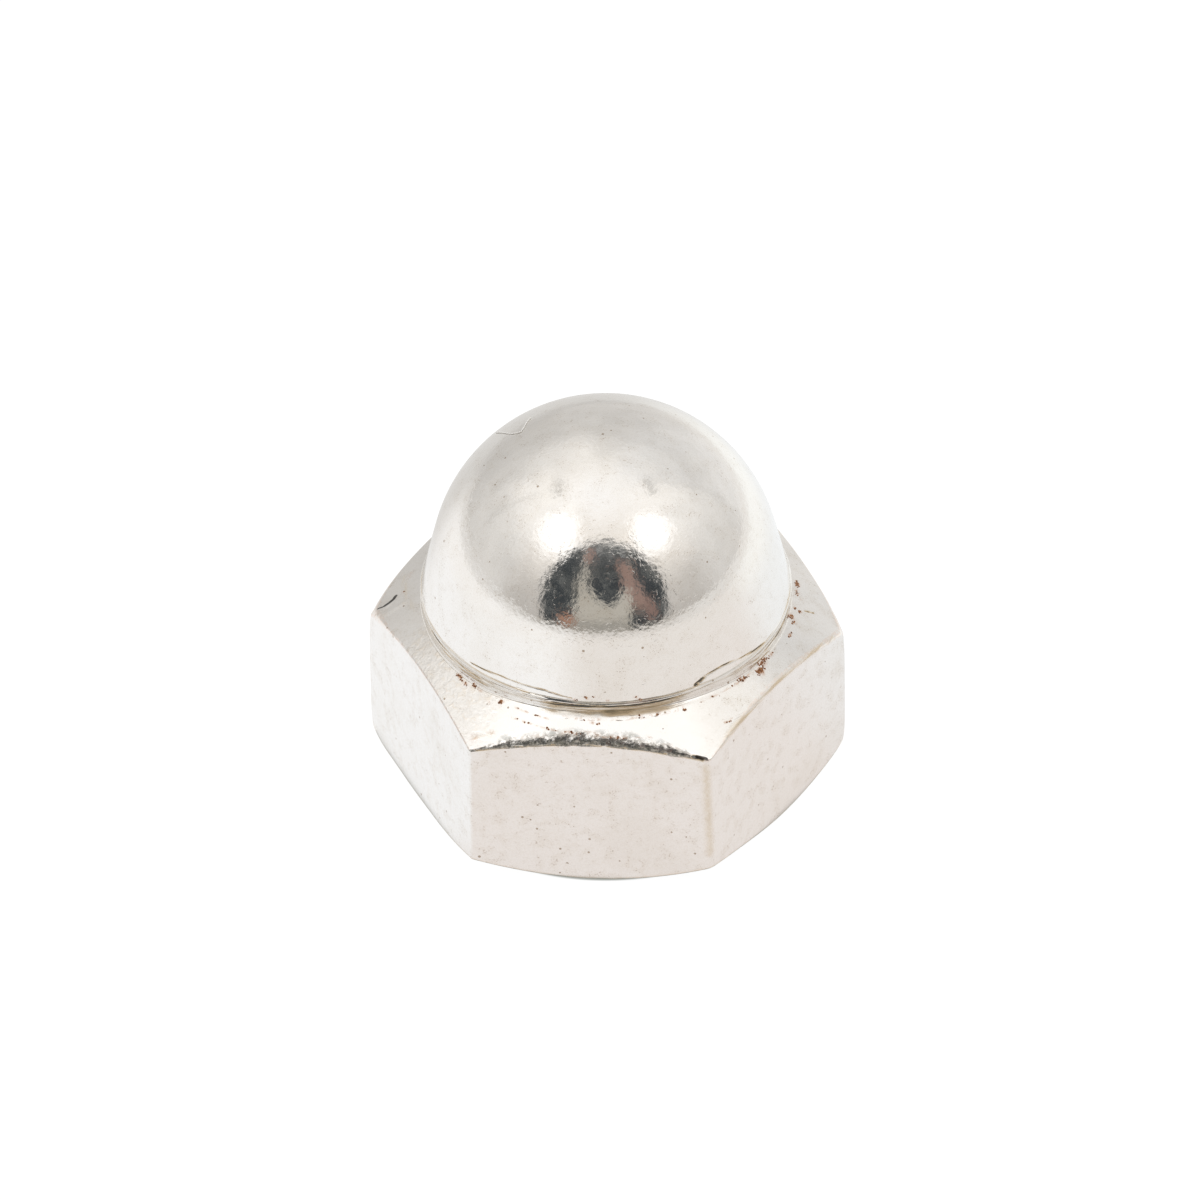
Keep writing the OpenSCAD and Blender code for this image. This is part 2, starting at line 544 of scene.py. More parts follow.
def shellRows(hexRadius):
    # half section from the top of the dome down the outside to the mouth of the hole; each row holds
    # radius, height, share of the edge round outwards and upwards, share of the neck's bite inwards and
    # upwards, thread, roughness, grime with painted shade, edge wear
    rows = []

    def add(points, roughness, neck=0.0, grime=0.0, wear=0.0, rolls=None, rise=0.0):
        for i, (r, z) in enumerate(points):
            roll = rolls[i] if rolls else (0.0, 0.0)
            dirt = grime[i] if isinstance(grime, list) else grime
            up = rise[i] if isinstance(rise, list) else rise
            rows.append((r, z, roll[0], roll[1], neck, up, 0.0, roughness, dirt, wear))

    foot, footZ, crown = nut["footRadius"], nut["footHeight"], nut["crownRadius"]
    crownZ = nut["overall"] - crown
    reach = math.hypot(foot, footZ - crownZ)
    lift = max(0.0, math.atan2(footZ - crownZ, foot) + math.acos(crown / reach))
    top = (crown * math.cos(lift), crownZ + crown * math.sin(lift))
    add(arc((0, crownZ), crown, 90, math.degrees(lift), 34)[:-1], 0.085)
    drop = (foot - top[0]) / (top[1] - footZ)
    ledge = footZ + 0.16
    middle = footZ + 0.75
    onMiddle = (foot - drop * (middle - footZ), middle)
    onLedge = (foot - drop * (ledge - footZ), ledge)
    add(straight(top, onMiddle, 9, 0), 0.09)
    add(straight(onMiddle, onLedge, 20, 0), 0.10)
    # the foot stands a little proud above the neck, as a narrow bead
    bead, proud = nut["footRound"], foot + nut["footBead"]
    beadZ = ledge - 0.04 - bead
    # the rows above the bead are a little darker: grime and painted crease shade
    add([onLedge, (foot - 0.02, ledge - 0.025)], 0.12, grime=0.22)
    add(arc((proud - bead, beadZ), bead, 60, -60, 6), 0.11, grime=0.06)
    # neck, darkest under the foot, where grime and a painted shadow of the foot lie; its lower end rises
    # along the shoulder's cone where the bite is deep
    hexTop = nut["hexHeight"]
    add([(foot, footZ + 0.005), (foot - 0.005, footZ - 0.03)], 0.20, neck=1.0, grime=0.95)
    shares = [i / 8 for i in range(8)]
    add(straight((foot - 0.005, footZ - 0.05), (foot, hexTop + 0.04), 8, 0), 0.22, neck=1.0, rise=shares,
        grime=[0.95, 0.93, 0.90, 0.80, 0.55, 0.38, 0.34, 0.44])
    add([(foot, hexTop + 0.03), (foot + 0.010, hexTop + 0.004)], 0.20, neck=1.0, rise=1.0,
        grime=[0.50, 0.42])
    add([(foot + 0.03, hexTop - 0.03 * slope)], 0.18, neck=1.0, rise=1.0, grime=0.42)
    add([(foot + 0.04, hexTop - 0.04 * slope)], 0.18, neck=0.5, rise=0.5, grime=0.26)
    topZ = hexTop - (hexRadius - foot) * slope
    inner = (foot + 0.05, hexTop - 0.05 * slope)
    # the shoulder ends where the rounded edge begins, and the wall starts below its lip
    steps = 36
    shoulder = straight(inner, (hexRadius, topZ), steps, 0.04)
    full, lip = math.radians(60), math.radians(nut["lip"])
    sink = (math.cos(lip) * math.cos(full) - 1) / math.sin(full)

    def roll(turn):
        return math.cos(turn) - math.cos(lip), math.sin(turn) + sink

    shares = [i / steps for i in range(steps)]
    add(shoulder, 0.15, rolls=[(roll(full)[0] * s, roll(full)[1] * s) for s in shares])
    turns = [full + (lip - full) * i / 9 for i in range(10)]
    add([(hexRadius, topZ)] * 10, 0.15, wear=1.0, rolls=[roll(t) for t in turns])
    lowest = roll(lip)[1] - 0.035
    bearing = nut["halfFlats"] - nut["bearingInset"]
    baseZ = (hexRadius - bearing) * slope
    base = nut["baseRound"]
    wall = straight((hexRadius, topZ), (hexRadius, baseZ + base * slope), 18)[1:]
    add([(hexRadius, topZ)], 0.16, wear=0.8, rolls=[(0.0, lowest)])
    add(wall, 0.17, rolls=[(0.0, lowest * (1 - (i + 1) / 18)) for i in range(17)])
    # the rounded lower edge is darkened with painted shade, standing for the shaded floor it mirrors at the
    # foot
    add(arc((hexRadius - base, baseZ + base * slope), base, 0, -60, 6), 0.20, wear=0.6, grime=0.18)
    rim = (bearing, 0.012)
    add(straight((hexRadius - base * 0.5, baseZ - base * 0.289), rim, 5)[1:], 0.26)
    add([rim], 0.28)
    add(straight((bearing - 0.03, 0), (nut["mouthRadius"], 0), 6), 0.30)
    add([(nut["mouthRadius"], 0)], 0.30)
    return rows


def boreRows():
    # from the mouth up the countersink and the thread to the drill's point
    rows = []
    mouth, bore = nut["mouthRadius"], nut["boreRadius"]
    mouthHeight = (mouth - bore) / math.tan(math.radians(60))
    tip = nut["overall"] - nut["crownWall"]
    boreTop = tip - bore / math.tan(math.radians(nut["drillAngle"] / 2))

    def add(radius, height, thread, roughness, grime):
        rows.append((radius, height, 0, 0, 0, 0, thread, roughness, grime, 0))

    for i in range(8):
        add(mouth + (bore - mouth) * i / 8, mouthHeight * i / 8, min(1.0, i), 0.30, 0.05)
    steps = int((boreTop - mouthHeight) / nut["threadPitch"] * nut["turnSteps"])
    for i in range(steps + 1):
        z = mouthHeight + (boreTop - mouthHeight) * i / steps
        add(bore, z, min(1.0, max(0.0, (boreTop - z - 0.6) / 1.6)), 0.32, 0.14)
    for i in range(1, 6):
        add(bore * (1 - i / 5), boreTop + (tip - boreTop) * i / 5, 0, 0.35, 0.12)
    return rows


def makeLine(name, positions, attributes):
    mesh = bpy.data.meshes.new(name)
    mesh.from_pydata(positions, [(i, i + 1) for i in range(len(positions) - 1)], [])
    for title, values in attributes.items():
        mesh.attributes.new(title, "FLOAT", "POINT").data.foreach_set("value", values)
    return addObject(name, mesh)


rowTitles = ("flatRadius", "flatHeight", "cornerRadius", "cornerHeight", "rollOut", "rollUp", "neckShare",
             "neckRise", "threadShare", "roughness", "grime", "wear")


def makeSection(name, flatRows, cornerRows):
    # one point for each row; what the row holds becomes the point's attributes, lengths in metres
    table = [[f[0] * mm, f[1] * mm, c[0] * mm, c[1] * mm, *f[2:]] for f, c in zip(flatRows, cornerRows)]
    columns = {title: [float(row[i]) for row in table] for i, title in enumerate(rowTitles)}
    return makeLine(name, [(row[0], 0, row[1]) for row in table], columns)


def loftTree():
    # lofts the outside round the hexagon's plan and the hole round the axis, and welds the two
    inputs = {"Plan": "Object", "Hole Section": "Object", "Hole Steps": "Int"}
    for title in ("Flats Radius", "Corner Radius", "Foot Radius", "Neck Radius", "Neck Offset",
                  "Neck Heading", "Shoulder Slope", "Bore Radius", "Thread Pitch", "Thread Depth"):
        inputs[title] = "Float"
    tree, given = makeGroup("loftNut", {**inputs, "Finish": "Material"})
    turn = 2 * math.pi

    def count(geometry):
        return makeNode(tree, "GeometryNodeAttributeDomainSize", {"Geometry": geometry})[0]

    def attribute(title):
        return makeNode(tree, "GeometryNodeInputNamedAttribute", {"Name": title}, data_type="FLOAT")[0]

    def pick(geometry, place, value, kind="FLOAT"):
        inputs = {"Geometry": geometry, "Index": place, "Value": value}
        return makeNode(tree, "GeometryNodeSampleIndex", inputs, data_type=kind, domain="POINT")["Value"]

    def geometryOf(title):
        return makeNode(tree, "GeometryNodeObjectInfo", {"Object": given[title]})["Geometry"]

    def makeGrid(section, columnCount):
        # column and row of each point of a grid with one row for each point of the section
        rowCount = count(section)
        grid = makeNode(tree, "GeometryNodeMeshGrid", {"Vertices X": columnCount, "Vertices Y": rowCount})
        index = makeNode(tree, "GeometryNodeInputIndex")[0]
        column = calc("FLOOR", (index + 0.5) / rowCount)
        row = calc("ROUND", index - column * rowCount)
        return grid["Mesh"], column, row, rowCount

    def placed(grid, section, row, angle, radius, height):
        place = makeNode(tree, "ShaderNodeCombineXYZ", {0: radius * calc("COSINE", angle),
                                                        1: radius * calc("SINE", angle), 2: height})
        shaped = makeNode(tree, "GeometryNodeSetPosition", {"Geometry": grid, "Position": place[0]})[0]
        for title in ("roughness", "grime", "wear"):
            inputs = {"Geometry": shaped, "Name": title, "Value": pick(section, row, attribute(title))}
            shaped = makeNode(tree, "GeometryNodeStoreNamedAttribute", inputs, data_type="FLOAT",
                              domain="POINT")[0]
        return shaped

    def makeShell():
        section, plan = given["Geometry"], geometryOf("Plan")
        grid, column, row, rowCount = makeGrid(section, count(plan))
        planPoint = pick(plan, column, makeNode(tree, "GeometryNodeInputPosition")[0], "FLOAT_VECTOR")
        edgeRound = pick(plan, column, attribute("edgeRound"))
        split = makeNode(tree, "ShaderNodeSeparateXYZ", {0: planPoint})
        angle = calc("ARCTAN2", split[1], split[0])
        hexRadius = makeNode(tree, "ShaderNodeVectorMath", {0: planPoint}, operation="LENGTH")["Value"]
        share = (hexRadius - given["Flats Radius"]) / (given["Corner Radius"] - given["Flats Radius"])

        def rowValue(title):
            return pick(section, row, attribute(title))

        def between(first, second):
            a, b = rowValue(first), rowValue(second)
            return a + share * (b - a)

        radius = between("flatRadius", "cornerRadius") + edgeRound * rowValue("rollOut")
        height = between("flatHeight", "cornerHeight") + edgeRound * rowValue("rollUp")
        # the neck goes in to the circle that was cut off centre, where that lies inside the foot
        off = angle - given["Neck Heading"]
        along = given["Neck Offset"] * calc("COSINE", off)
        across = given["Neck Offset"] * calc("SINE", off)
        chord = calc("SQRT", given["Neck Radius"] ** 2 - across ** 2)
        bite = calc("MAXIMUM", 0.0, given["Foot Radius"] - (chord - along))
        radius = radius - bite * rowValue("neckShare")
        height = height + bite * given["Shoulder Slope"] * rowValue("neckRise")
        # the last row is the mouth of the hole, which has fewer points
        perStep = turn / given["Hole Steps"]
        snapped = calc("ROUND", angle / perStep) * perStep
        isLast = calc("GREATER_THAN", row, rowCount - 1.5)
        angle = angle + isLast * (snapped - angle)
        return placed(grid, section, row, angle, radius, height)

    def makeHole():
        section = geometryOf("Hole Section")
        grid, column, row = makeGrid(section, given["Hole Steps"] + 1)[:3]
        angle = column * turn / given["Hole Steps"]
        radius, height = (pick(section, row, attribute(title)) for title in ("flatRadius", "flatHeight"))
        # crests reach an eighth of the pitch to each side, roots half of that, straight flanks between
        phase = calc("FRACT", height / given["Thread Pitch"] - angle / turn)
        away = abs(phase * 2.0 - 1.0)
        groove = calc("DIVIDE", away - 0.25, 0.625, clamp=True)
        depth = given["Thread Depth"] * groove * pick(section, row, attribute("threadShare"))
        cut = calc("MAXIMUM", radius, given["Bore Radius"] + depth)
        isCut = calc("GREATER_THAN", depth, 0.0)
        radius = radius + isCut * (cut - radius)
        return placed(grid, section, row, angle, radius, height)

    joined = makeNode(tree, "GeometryNodeJoinGeometry")
    for surface in (makeShell(), makeHole()):
        tree.links.new(surface.socket, joined.node.inputs[0])
    welded = makeNode(tree, "GeometryNodeMergeByDistance", {"Geometry": joined[0], "Distance": 0.0002 * mm})
    outwards = makeNode(tree, "GeometryNodeFlipFaces", {"Mesh": welded[0]})
    smooth = makeNode(tree, "GeometryNodeSetShadeSmooth", {"Geometry": outwards[0]})
    whole = makeNode(tree, "GeometryNodeRealizeInstances", {0: smooth[0]})
    coated = makeNode(tree, "GeometryNodeSetMaterial", {"Geometry": whole[0], "Material": given["Finish"]})
    makeNode(tree, "NodeGroupOutput", {0: coated[0]})
    return tree


def makeNut(finish):
    flats, corner = nut["halfFlats"], cadHigh.x / mm
    section = makeSection("nutSection", shellRows(flats), shellRows(corner))
    hole = makeSection("holeSection", boreRows(), boreRows())
    points = railPoints()
    points.append(points[0])
    plan = makeLine("nutPlan", [(p.x * mm, p.y * mm, 0) for p in points],
                    {"edgeRound": [edgeRoundAt(math.atan2(p.y, p.x)) * mm for p in points]})
    foot, depth = nut["footRadius"], nut["neckDepth"]
    swing = 1 - math.cos(math.radians(nut["neckSweep"]))
    offset = depth * (2 * foot - depth) / (2 * (foot * swing - depth))
    lengths = {"Flats Radius": flats, "Corner Radius": corner, "Foot Radius": foot,
               "Neck Radius": foot - depth + offset, "Neck Offset": offset, "Bore Radius": nut["boreRadius"],
               "Thread Pitch": nut["threadPitch"],
               "Thread Depth": nut["threadDiameter"] / 2 - nut["boreRadius"]}
    values = {title: length * mm for title, length in lengths.items()}
    values.update({"Plan": plan, "Hole Section": hole, "Hole Steps": nut["boreSteps"], "Finish": finish,
                   "Neck Heading": math.radians(nut["neckHeading"] - 90), "Shoulder Slope": slope})
    piece = applyTree(section, loftTree(), values, "capNut")
    for helper in (section, hole, plan):
        bpy.data.objects.remove(helper)
    print("nut:", len(points) - 1, "columns,", len(piece.data.polygons), "faces")
    return piece


# marks that use and bad handling left in the nut; places are (heading from the front flat towards +X
# in degrees, radius, height), the rest is in millimetres
marks = {
    # path, depth (raised where negative), width, grime that gathers there, which also paints the crease's
    # shade
    "folds": [
        ([(-42, 5.74, 6.84), (-30, 5.71, 6.97), (-15, 5.71, 6.97), (-6, 5.74, 6.84)], 0.014, 0.024, 0.85),
        ([(-66, 5.80, 6.58), (-44, 5.80, 6.50), (-30, 5.80, 6.56), (-20, 5.80, 6.60)], 0.016, 0.024, 1.0),
        ([(-58, 5.80, 6.44), (-40, 5.80, 6.36), (-24, 5.80, 6.44)], 0.014, 0.020, 0.8),
        ([(-24, 5.78, 6.76), (-16, 5.80, 6.70), (-7, 5.80, 6.50)], -0.030, 0.030, 0.42),
        ([(-22, 5.80, 6.68), (-14, 5.80, 6.60), (-5, 5.80, 6.44)], 0.020, 0.024, 1.0),
        ([(33.5, 5.75, 6.80), (36, 5.73, 6.92), (38.5, 5.71, 7.00), (44, 5.70, 7.05), (49.4, 5.71, 6.97),
          (55, 5.74, 6.87), (64, 5.77, 6.74)], 0.024, 0.030, 0.8),
        ([(33.6, 5.76, 6.80), (36.5, 5.73, 6.93)], 0.030, 0.050, 1.4),
        ([(34, 5.79, 6.67), (43, 5.79, 6.65), (53, 5.79, 6.64), (66, 5.79, 6.64), (84, 5.79, 6.62)],
         0.010, 0.024, 0.9),
        ([(40, 5.80, 6.44), (48, 5.80, 6.38), (64, 5.80, 6.44), (84, 5.80, 6.50)], 0.020, 0.024, 1.1),
        ([(40, 5.80, 6.32), (54, 5.80, 6.27), (66, 5.80, 6.30)], 0.014, 0.020, 0.8),
        ([(36.5, 5.80, 6.31), (41, 5.80, 6.24)], 0.030, 0.045, 1.2),
    ],
    "nicks": [
        ([(-87.2, 7.18, 5.34), (-87.5, 6.95, 5.48), (-88.5, 6.76, 5.60), (-90.6, 6.65, 5.66)],
         0.012, 0.050, 0.0),
        ([(-85.4, 7.25, 5.31), (-85.9, 6.84, 5.55), (-87, 6.30, 5.86)], -0.020, 0.070, 0.1),
        ([(90.4, 6.24, 5.90), (91.2, 6.50, 5.75)], 0.020, 0.032, 0.6),
        ([(26.6, 7.22, 5.30), (28.5, 7.37, 5.21)], 0.020, 0.060, 1.3),
    ],
    # path, width, and how far height counts: on the left corner, the front right one, and at the lap
    "gouges": [
        ([(-89.6, 7.18, 5.30), (-89.3, 7.02, 5.40), (-89.5, 6.90, 5.50)], 0.034, 0.2),
        ([(-89.4, 6.96, 5.47), (-89.8, 6.82, 5.57), (-90.6, 6.70, 5.64), (-91.6, 6.64, 5.68)], 0.062, 0.2),
        ([(29.6, 7.40, 5.21), (28.6, 7.33, 5.26), (27.4, 7.25, 5.32)], 0.040, 0.2),
        ([(33.8, 5.73, 6.83), (35.2, 5.72, 6.89)], 0.036, 1.0),
        ([(33.0, 5.77, 6.63), (33.6, 5.77, 6.64)], 0.036, 1.0),
    ],
    # path, width and amount of thin films of dirt
    "films": [
        ([(29.2, 7.46, 4.85), (30.1, 7.48, 1.3)], 0.22, 0.26),
        ([(34, 7.20, 5.34), (44, 6.76, 5.59), (60, 6.50, 5.72), (76, 6.76, 5.59), (86, 7.20, 5.34)],
         0.13, 0.27),
        ([(-28.5, 7.39, 5.20), (-20, 6.92, 5.40), (-10, 6.60, 5.56), (0, 6.50, 5.61), (10, 6.60, 5.56),
          (20, 6.92, 5.40), (28.5, 7.39, 5.20)], 0.035, 0.62),
        ([(-101, 6.60, 5.69), (-91, 6.30, 5.86), (-78, 5.95, 6.06)], 0.13, 0.14),
        ([(52, 6.56, 5.71), (43.5, 6.63, 5.67), (36.7, 6.95, 5.48)], 0.07, 0.13),
        ([(-56, 5.86, 6.11), (-44, 5.86, 6.11), (-34, 5.86, 6.11)], 0.10, 0.16),
        ([(-30.6, 7.12, 5.39), (-26.8, 6.80, 5.57)], 0.10, 0.12),
    ],
    "batteredDepth": 0.028,
    "batteredReach": 0.40,  # in from the front edge
    # heading, spread and how much rounder the top edge is there
    "battered": ((1, 5, 0.16), (-21, 5, 0.08), (22.5, 2.5, 0.16), (28.4, 1.0, 0.10), (-90, 8, 0.45),
                 (90, 7, 0.30)),
    # the side corners are blunted at both ends: heading, height, depth, how far it reaches
    "blunted": ((-90, 5.18, 0.11, 0.42), (90, 5.18, 0.075, 0.36), (-90, 0.45, 0.05, 0.35),
                (90, 0.68, 0.08, 0.38)),
    "lowerEdge": ((-87, 9, 0.24), (-57, 13, -0.09), (43, 15, -0.13)),   # heading, spread, how much lower
    # headings over which each begins, and over which it ends
    "packed": ((-18, -11), (19, 34)),   # with grime, in the neck
    "scuffed": ((-80, -64), (-34, -24)),
    "burnished": ((-38, -24), (26, 40)),
    "neckFilm": 0.18,       # grime left in the neck where it isn't packed
    "grooveTop": 6.66,
    "neckReach": 5.9,       # radius within which the neck lies
    "lowerReach": 1.3,      # how far up from the base chamfer the uneven lower edge is felt
}


def onNut(place):
    heading, radius, height = place
    turned = math.radians(heading)
    return np.array((radius * math.sin(turned), -radius * math.cos(turned), height)) * mm


def pathThrough(places, steps=14):
    # even steps between the places given, along the round of the nut
    path = []
    for first, last in zip(places, places[1:]):
        for i in range(steps):
            path.append(onNut([a + (b - a) * i / steps for a, b in zip(first, last)]))
    path.append(onNut(places[-1]))
    return path


def distanceFrom(path, points):
    nearest = np.full(len(points), 1.0)
    for first, last in zip(path, path[1:]):
        along = last - first
        share = np.clip((points - first) @ along / (along @ along), 0, 1)
        nearest = np.minimum(nearest, np.linalg.norm(points - first - share[:, None] * along, axis=1))
    return nearest / mm


def readValues(mesh, title):
    values = np.zeros(len(mesh.vertices))
    if title in mesh.attributes:
        mesh.attributes[title].data.foreach_get("value", values)
    return values


def storeValues(mesh, title, values):
    layer = mesh.attributes.get(title) or mesh.attributes.new(title, "FLOAT", "POINT")
    layer.data.foreach_set("value", values)


def smoothStep(values, low, high):
    share = np.clip((values - low) / (high - low), 0, 1)
    return share * share * (3 - 2 * share)


def alongPath(path, width, points):
    # 1 on the path, falling off over the width
    return np.exp(-(distanceFrom(pathThrough(path), points) / width) ** 2)


def band(heading, begins, ends):
    # 1 between two headings, with a soft begin and end
    return smoothStep(heading, *begins) * (1 - smoothStep(heading, *ends))


class Skin:
    # where each point of the nut lies before it is marked, which way it looks, and the grime and painted
    # shade that gather there
    def __init__(self, mesh):
        flat = np.zeros(len(mesh.vertices) * 3)
        mesh.vertices.foreach_get("co", flat)
        self.points = flat.reshape(-1, 3).copy()
        mesh.vertex_normals.foreach_get("vector", flat)
        self.normals = flat.reshape(-1, 3).copy()
        self.heading = np.degrees(np.arctan2(self.points[:, 0], -self.points[:, 1]))
        self.radius = np.hypot(self.points[:, 0], self.points[:, 1]) / mm
        self.height = self.points[:, 2] / mm
        self.grime = readValues(mesh, "grime")
        self.sink = np.zeros(len(self.points))      # how deep each point is pressed in, millimetres
        self.battered = np.zeros(len(self.points))
        self.packed = band(self.heading, *marks["packed"])


def pressMarks(skin):
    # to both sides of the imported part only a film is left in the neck
    inNeck = (skin.height > 6.05) & (skin.height < marks["grooveTop"]) & (skin.radius < marks["neckReach"])
    film = marks["neckFilm"]
    skin.grime *= np.where(inNeck, film + (1 - film) * skin.packed, 1.0)
    # along folds and nicks grime gathers, which also paints shade into the creases
    for path, depth, width, dirt in marks["folds"] + marks["nicks"]:
        profile = alongPath(path, width, skin.points)
        skin.sink += depth * profile
        for i in np.nonzero(profile > 0.05)[0]:
            profile[i] *= 0.9 + 0.8 * noise.noise(Vector(skin.points[i]) / mm * 3.1)
        skin.grime = np.maximum(skin.grime, dirt * profile)
    for path, width, dirt in marks["films"]:
        skin.grime = np.maximum(skin.grime, dirt * alongPath(path, width, skin.points))


def hammerEdge(skin):
    # a strip along the front edge, ragged at its upper side
    inward = nut["halfFlats"] + skin.points[:, 1] / mm
    hit = (inward > -0.01) & (inward < marks["batteredReach"] + 0.2) & (np.abs(skin.heading) < 30)
    hit &= (skin.normals[:, 2] > 0.10) & (skin.height > 4)
    for i in np.nonzero(hit)[0]:
        spot = Vector(skin.points[i]) / mm
        ragged = inward[i] + 0.16 * noise.noise(spot * 2.2) + 0.08 * noise.noise(spot * 7)
        reach = marks["batteredReach"] * max(0.0, 1 - abs(skin.heading[i] / 28.5) ** 4)
        amount = max(0.0, 1 - (max(0.0, ragged) / (reach + 0.01)) ** 2)
        lumps = noise.noise(spot * 2.6) + 0.4 * noise.noise(spot * 6 + Vector((3, 7, 1)))
        skin.battered[i] = amount
        skin.sink[i] += marks["batteredDepth"] * (0.3 + lumps) * amount * min(1.0, skin.normals[i, 2] * 2)


def packNeck(skin):
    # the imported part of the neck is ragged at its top
    inNeck = (skin.height > 6.1) & (skin.height < 6.8) & (skin.radius < marks["neckReach"])
    crust = (skin.packed > 0.01) & inNeck
    for i in np.nonzero(crust)[0]:
        spot, packed = Vector(skin.points[i]) / mm, skin.packed[i]
        edge = marks["grooveTop"] + 0.04 * noise.noise(spot * 3) - (1 - packed) * 0.3
        under = float(smoothStep(np.array(edge - skin.height[i]), -0.02, 0.03))
        skin.grime[i] *= 1 + 0.45 * noise.noise(spot * 2.1 + Vector((5, 0, 0))) * packed
        # darkest just under the foot: packed grime with painted shade of the foot
        if skin.height[i] > 6.52:
            skin.grime[i] = max(skin.grime[i], 0.85 * packed * under)
        skin.sink[i] += 0.012 * noise.noise(spot * 5) * packed * under


def wearBase(skin, points):
    # the chamfer round the base is cut unevenly
    fromFlat = np.radians((skin.heading + 30) % 60 - 30)
    rim = (nut["halfFlats"] / np.cos(fromFlat) - nut["halfFlats"] + nut["bearingInset"]) * slope
    above = 1 - smoothStep(skin.height, rim, rim + marks["lowerReach"])
    share = np.where(skin.height < rim, skin.height / rim, above)
    share = share * (skin.radius > nut["halfFlats"] - nut["bearingInset"] - 0.001) * (skin.height < 2.2)
    for place, spread, lower in marks["lowerEdge"]:
        points[:, 2] -= share * lower * mm * np.exp(-((skin.heading - place) / spread) ** 2)


def bluntCorners(skin, points):
    for place, level, depth, reach in marks["blunted"]:
        far = np.linalg.norm(points - onNut((place, cadHigh.x / mm, level)), axis=1) / mm
        outwards = points * (1, 1, 0) / (skin.radius * mm + 1e-9)[:, None]
        lean = (0, 0, math.copysign(0.5, level - 3))
        points -= (outwards * 0.87 + lean) * (depth * mm * np.exp(-far / reach) * (skin.radius > 5))[:, None]


def gougesAt(skin, points):
    gouge = np.zeros(len(points))
    for path, width, upright in marks["gouges"]:
        squash = np.array((1, 1, upright))
        far = distanceFrom([place * squash for place in pathThrough(path)], points * squash)
        gouge = np.maximum(gouge, np.exp(-(far / width) ** 2) * (skin.height > 4.5))
    return gouge


def rustAt(points):
    # it gathers in places and along lines
    stain = np.zeros(len(points))
    for place, size, amount in rust["places"]:
        far = np.linalg.norm(points - onNut(place), axis=1) / mm
        stain = np.maximum(stain, amount * np.exp(-(far / size) ** 2))
    for path, width, amount in rust["traces"]:
        trace = amount * alongPath(path, width, points)
        for i in np.nonzero(trace > 0.03)[0]:
            trace[i] *= max(0.0, min(1.0, 0.55 + 1.6 * noise.noise(Vector(points[i]) / mm * 6)))
        stain = np.maximum(stain, trace)
    return stain


def markNut(piece):
    mesh = piece.data
    skin = Skin(mesh)
    pressMarks(skin)
    hammerEdge(skin)
    packNeck(skin)
    points = skin.points - skin.normals * (skin.sink * mm)[:, None]
    wearBase(skin, points)
    bluntCorners(skin, points)
    points = np.clip(points, np.array(cadLow), np.array(cadHigh))
    mesh.vertices.foreach_set("co", points.ravel())

    # where each finish lies
    heading, height, upwards = skin.heading, skin.height, skin.normals[:, 2]
    onShoulder = smoothStep(upwards, 0.75, 0.83) * (height < 6.16) * (height > 4.8)
    storeValues(mesh, "grime", skin.grime)
    storeValues(mesh, "battered", skin.battered)
    storeValues(mesh, "gouge", gougesAt(skin, points))
    storeValues(mesh, "rust", rustAt(points))
    storeValues(mesh, "scuff", onShoulder * band(heading, *marks["scuffed"]))
    storeValues(mesh, "burnish", onShoulder * band(heading, *marks["burnished"]))
    storeValues(mesh, "flats", (np.abs(upwards) < 0.2) * (height < 5.9) * (skin.radius > 6.3) * 1.0)
    storeValues(mesh, "dome", smoothStep(height, 6.75, 6.9))
    mesh.update()
    print("marks: pressed in")


